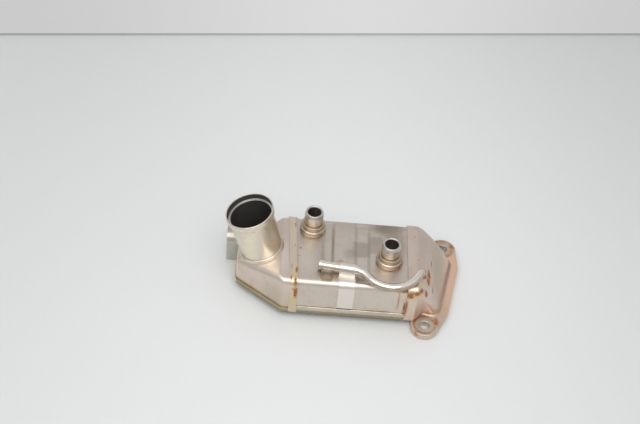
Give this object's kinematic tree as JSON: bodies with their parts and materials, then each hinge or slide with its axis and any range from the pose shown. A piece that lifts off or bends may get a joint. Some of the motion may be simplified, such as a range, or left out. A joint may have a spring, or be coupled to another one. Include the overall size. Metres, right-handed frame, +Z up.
{
  "type": "egr cooler",
  "caption": "Brazed stainless exhaust gas cooler: finned flat tubes in a coolant jacket, a skewed bolted gas inlet, a slanted outlet tube, coolant nipples and a thin pressure pipe.",
  "frame": {"origin": "centre of the gas inlet flange's sealing face, midway between its bolt holes", "axes": "+X along the jacket from the gas outlet to the inlet flange, +Y across the jacket, +Z up from the flange's sealing face"},
  "size_m": [0.2308, 0.1264, 0.0989],
  "materials": {
    "jacket": "satin, warm grey with faint heat tint",
    "rim": "satin, straw heat tint and rust spots",
    "core": "dull, brazed",
    "header": "satin, warm grey with rust runs",
    "cover": "dull olive heat tint",
    "outlet": "bright, straw heat tint",
    "bracket": "satin",
    "flange": "dull, pink-orange heat tint with rust",
    "collar": "satin, straw heat tint",
    "nipple": "bright turned steel",
    "pipe": "bright drawn steel",
    "clip": "bright sheet steel"
  },
  "bodies": {
    "root": {"coolant_collar_1": "collar", "coolant_collar_2": "collar", "coolant_nipple_1": "nipple", "coolant_nipple_2": "nipple", "gas_fin_1": "core", "gas_fin_2": "core", "gas_fin_3": "core", "gas_fin_4": "core", "gas_fin_5": "core", "gas_fin_6": "core", "gas_fin_7": "core", "gas_fin_8": "core", "gas_tube_1": "core", "gas_tube_2": "core", "gas_tube_3": "core", "gas_tube_4": "core", "gas_tube_5": "core", "gas_tube_6": "core", "gas_tube_7": "core", "gas_tube_8": "core", "inlet_flange": "flange", "inlet_header": "header", "inlet_tube_sheet": "core", "jacket_shell": "jacket", "jacket_tray": "jacket", "outlet_collar": "outlet", "outlet_cover": "cover", "outlet_header": "header", "outlet_tube": "outlet", "outlet_tube_sheet": "rim", "pipe_clip": "clip", "pressure_pipe": "pipe", "support_bracket": "bracket"}
  },
  "joints": []
}
